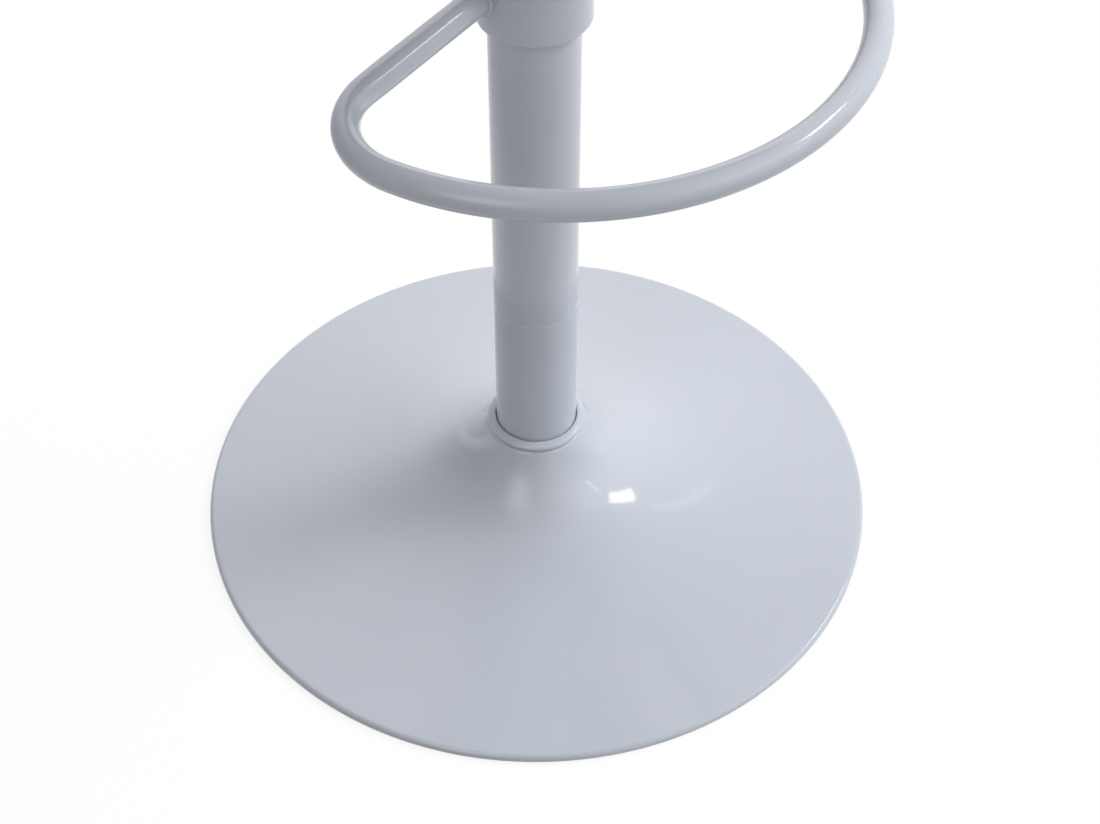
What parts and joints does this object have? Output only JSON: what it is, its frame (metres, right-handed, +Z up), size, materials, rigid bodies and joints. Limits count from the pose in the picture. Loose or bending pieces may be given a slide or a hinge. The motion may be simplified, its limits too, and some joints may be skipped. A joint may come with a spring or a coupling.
{
  "type": "adjustable bar stool",
  "caption": "Height-adjustable swivel bar stool with a flared round base, painted column, tubular footrest loop, gas lift with side lever and a round padded seat.",
  "frame": {"origin": "centre of the base on the floor, under the column's axis", "axes": "+Z up along the column; the footrest points along -Y; the release lever points along -X"},
  "size_m": [0.41, 0.41, 0.65],
  "materials": {
    "grey_lacquer": "gloss",
    "black_plastic": "satin",
    "black_rubber": "matte",
    "cast_iron": "as cast",
    "zinc_steel": "zinc plated",
    "bright_steel": "polished",
    "bearing_steel": "ground",
    "black_steel": "satin",
    "brass": "turned",
    "plywood": "raw",
    "dust_cloth": "matte",
    "upholstery": "woven"
  },
  "bodies": {
    "base": {"trumpet_base": "grey_lacquer", "neck_cover_ring": "grey_lacquer", "column_tube": "grey_lacquer", "footrest_loop": "grey_lacquer", "footrest_collar": "grey_lacquer", "floor_ring": "black_rubber", "base_plate": "zinc_steel", "base_ballast": "cast_iron", "hub_socket": "zinc_steel", "guide_bush": "black_plastic", "column_foot_plate": "zinc_steel", "bearing_lower_race": "bearing_steel", "collar_screw_1": "black_steel", "collar_screw_2": "black_steel"},
    "bearing_cage": {"bearing_ball_cage": "bearing_steel"},
    "rod": {"piston_rod": "bright_steel", "piston_head": "zinc_steel", "piston_nut": "zinc_steel", "rod_clip": "bearing_steel", "rod_washer": "zinc_steel", "bearing_upper_race": "bearing_steel", "bump_stop": "black_rubber"},
    "seat": {"pressure_tube": "bright_steel", "rod_gland": "black_plastic", "inner_cylinder": "zinc_steel", "valve_body": "brass", "seat_socket": "black_steel", "seat_channel": "black_steel", "seat_plate": "black_steel", "dust_cover": "dust_cloth", "seat_board": "plywood", "seat_cushion": "upholstery", "lever_pin": "zinc_steel", "threaded_insert_1": "zinc_steel", "threaded_insert_2": "zinc_steel", "threaded_insert_3": "zinc_steel", "threaded_insert_4": "zinc_steel", "seat_bolt_1": "zinc_steel", "seat_bolt_2": "zinc_steel", "seat_bolt_3": "zinc_steel", "seat_bolt_4": "zinc_steel"},
    "lever": {"release_lever": "bright_steel", "lever_grip": "black_plastic"},
    "button": {"release_button": "bright_steel"}
  },
  "joints": [
    {"name": "swivel", "type": "hinge", "parent": "base", "child": "rod", "pos_m": [0, 0, 0.0212], "axis": [0, 0, 1], "continuous": true},
    {"name": "cage_turn", "type": "hinge", "parent": "base", "child": "bearing_cage", "pos_m": [0, 0, 0.0212], "axis": [0, 0, 1], "continuous": true},
    {"name": "seat_height", "type": "slide", "parent": "rod", "child": "seat", "axis": [0, 0, 1], "range_m": [0, 0.21]},
    {"name": "lever_lift", "type": "hinge", "parent": "seat", "child": "lever", "pos_m": [-0.024, 0, 0.5558], "axis": [0, 1, 0], "range_deg": [0, 7], "stiffness_Nm_per_rad": 4, "springref_deg": -2.86},
    {"name": "button_press", "type": "slide", "parent": "seat", "child": "button", "axis": [0, 0, -1], "range_m": [0, 0.003]}
  ],
  "couplings": [
    {"joint": "cage_turn", "follows": "swivel", "ratio": 0.5},
    {"joint": "button_press", "follows": "lever_lift", "m_per_rad": 0.024}
  ]
}
